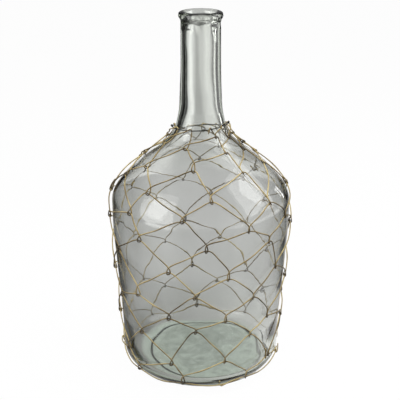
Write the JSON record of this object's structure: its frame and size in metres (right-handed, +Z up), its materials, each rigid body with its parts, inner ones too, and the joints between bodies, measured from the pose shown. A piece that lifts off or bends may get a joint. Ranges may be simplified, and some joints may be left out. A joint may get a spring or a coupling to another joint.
{
  "type": "glass bottle in a cane net",
  "caption": "Hand-blown smoky glass bottle with a long neck, in a knotted net of thin cane that hangs between a ring round the heel and a black wire round the foot of the neck.",
  "frame": {"origin": "on the bottle's axis, at the level that its foot ring rests on", "axes": "+Z up along the bottle's axis, -Y towards the pictured side, +X to its right"},
  "size_m": [0.2411, 0.2384, 0.46],
  "materials": {
    "smoky_glass": "clear, smoky grey-green, polished, with slight ripples",
    "cane": "raw, dry, satin",
    "black_wire": "black annealed iron wire, twisted in two plies"
  },
  "bodies": {
    "root": {"glass_bottle": "smoky_glass", "base_ring": "cane", "cane_strand_1": "cane", "cane_strand_2": "cane", "cane_strand_3": "cane", "cane_strand_4": "cane", "cane_strand_5": "cane", "neck_wire_front": "black_wire", "neck_wire_back": "black_wire"}
  },
  "joints": []
}
